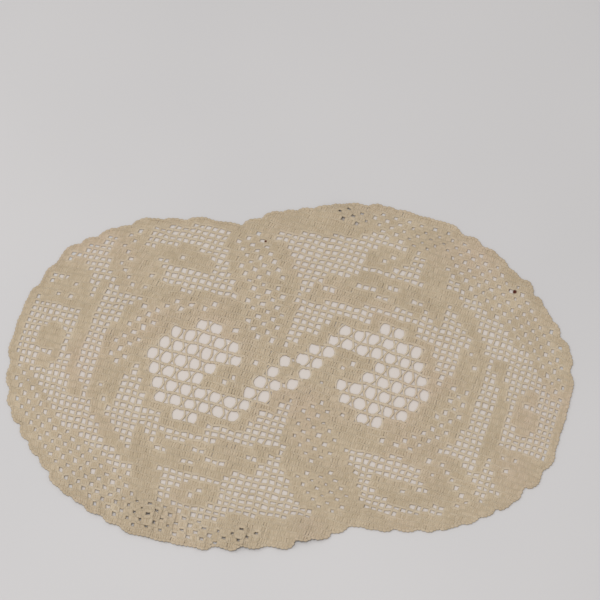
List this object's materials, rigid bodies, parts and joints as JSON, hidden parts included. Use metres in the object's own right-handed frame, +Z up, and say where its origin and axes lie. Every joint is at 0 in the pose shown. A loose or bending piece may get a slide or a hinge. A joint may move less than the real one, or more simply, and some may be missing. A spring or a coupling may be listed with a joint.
{
  "type": "lace doily",
  "caption": "Flat crocheted cotton lace doily with a double-lobed outline, a stepped edge and round fields of large holes, to lie on a table or under an ornament.",
  "frame": {"origin": "under the middle of the doily's box, on the surface that it lies on", "axes": "+X along the longest way across both lobes, +Y across it, +Z up out of the lace"},
  "size_m": [0.4654, 0.319, 0.0018],
  "materials": {
    "cotton": "undyed crochet cotton, matt, a little uneven in tone"
  },
  "bodies": {
    "root": {"doily": "cotton"}
  },
  "joints": []
}
